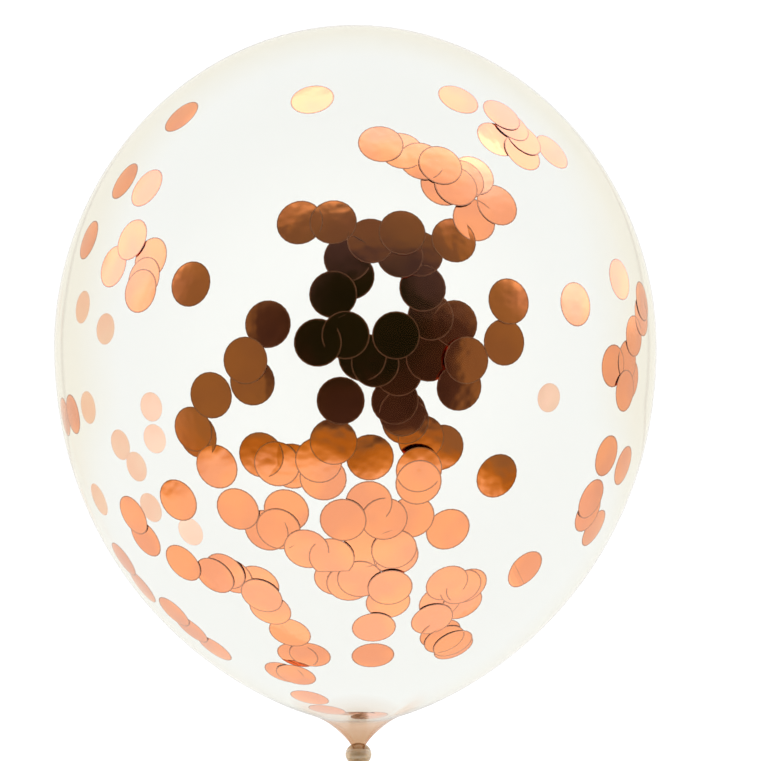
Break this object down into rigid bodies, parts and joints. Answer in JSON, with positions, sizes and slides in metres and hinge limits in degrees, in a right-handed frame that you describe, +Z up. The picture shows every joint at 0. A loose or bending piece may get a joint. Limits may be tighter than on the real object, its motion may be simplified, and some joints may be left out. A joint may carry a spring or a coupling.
{
  "type": "confetti balloon",
  "caption": "Round clear latex balloon, blown up, tied in its own neck and lying on its side, with loose metallic foil confetti discs sealed inside and an open tail with a rolled lip.",
  "frame": {"origin": "the middle of the small flat spot on the belly that the balloon rests on", "axes": "+Y along the balloon's own axis towards its crown, with the knot and tail towards -Y; +Z straight up from the ground; +X across the balloon"},
  "size_m": [0.305, 0.4012, 0.3032],
  "materials": {
    "clear_latex": "smooth glossy clear latex, faintly milky, amber where it is thick at the neck, knot and lip",
    "confetti_foil": "mirror-like rose-gold metallised film"
  },
  "bodies": {
    "root": {"balloon": "clear_latex"}
  },
  "joints": []
}
